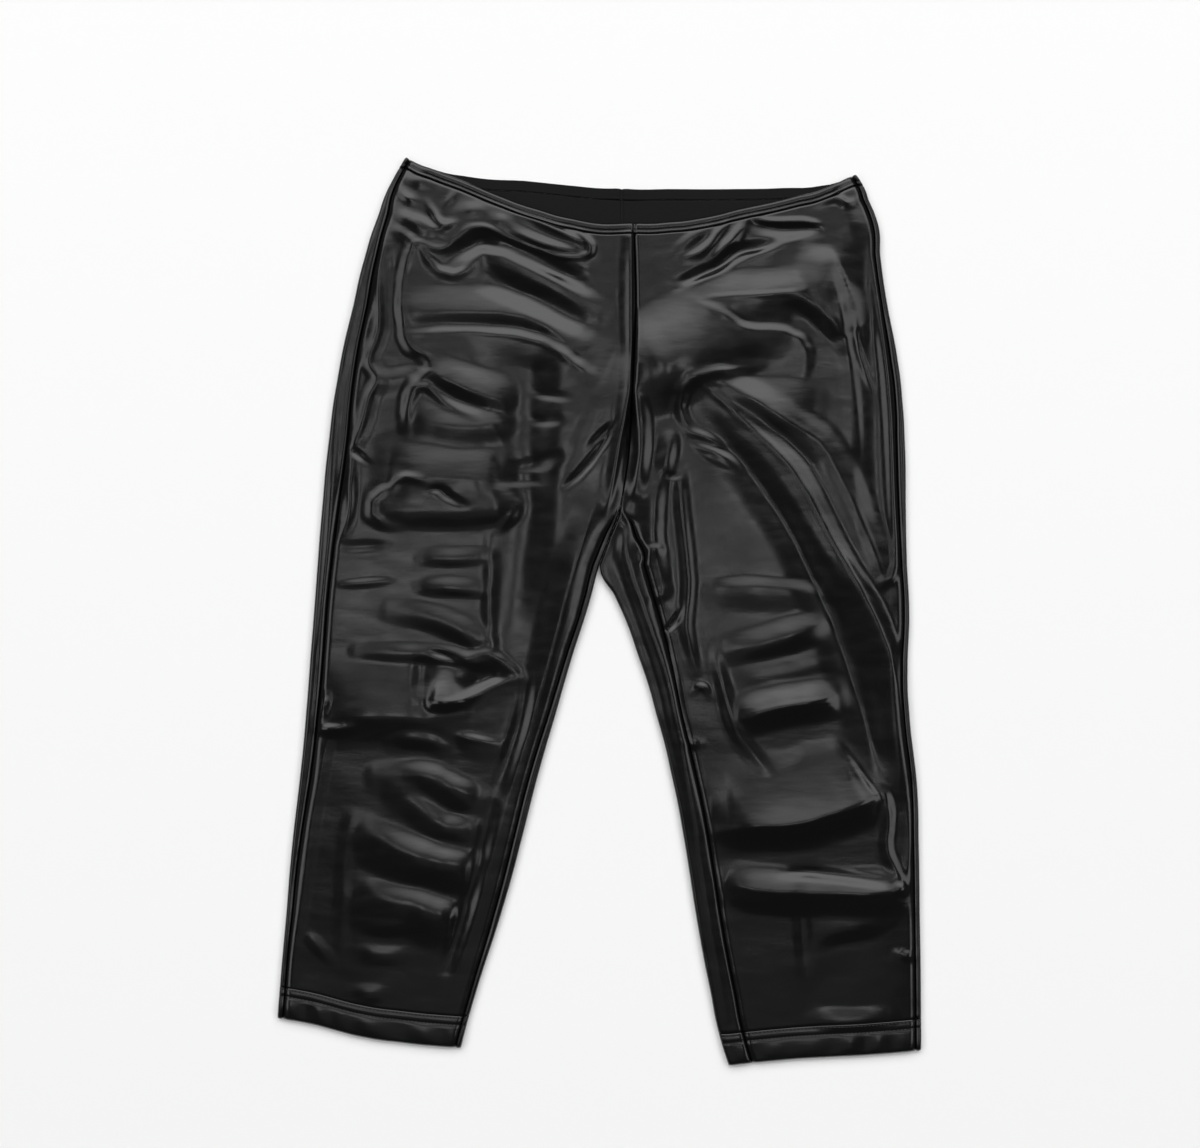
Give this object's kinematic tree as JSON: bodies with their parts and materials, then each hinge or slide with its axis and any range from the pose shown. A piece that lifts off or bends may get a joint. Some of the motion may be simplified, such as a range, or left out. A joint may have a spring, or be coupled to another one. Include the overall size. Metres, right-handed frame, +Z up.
{
  "type": "capri leggings",
  "caption": "Calf-length high-gloss stretch leggings laid flat with the front up, with an elastic casing at the waist and turned hems.",
  "frame": {"origin": "on the ground, under the middle of the garment's box", "axes": "+Z up out of the front, +Y from the hems to the waist, +X towards the wearer's left"},
  "size_m": [0.554, 0.7821, 0.0132],
  "materials": {
    "coated_cloth": "black stretch knit with a glossy coating outside, matt black inside",
    "waist_casing": "the same coated cloth over an elastic, topstitched",
    "leg_hem": "the same coated cloth, turned up and topstitched"
  },
  "bodies": {
    "root": {"front_right": "coated_cloth", "front_left": "coated_cloth", "back_right": "coated_cloth", "back_left": "coated_cloth", "waist_front": "waist_casing", "waist_back": "waist_casing", "hem_front_right": "leg_hem", "hem_back_right": "leg_hem", "hem_front_left": "leg_hem", "hem_back_left": "leg_hem"}
  },
  "joints": []
}
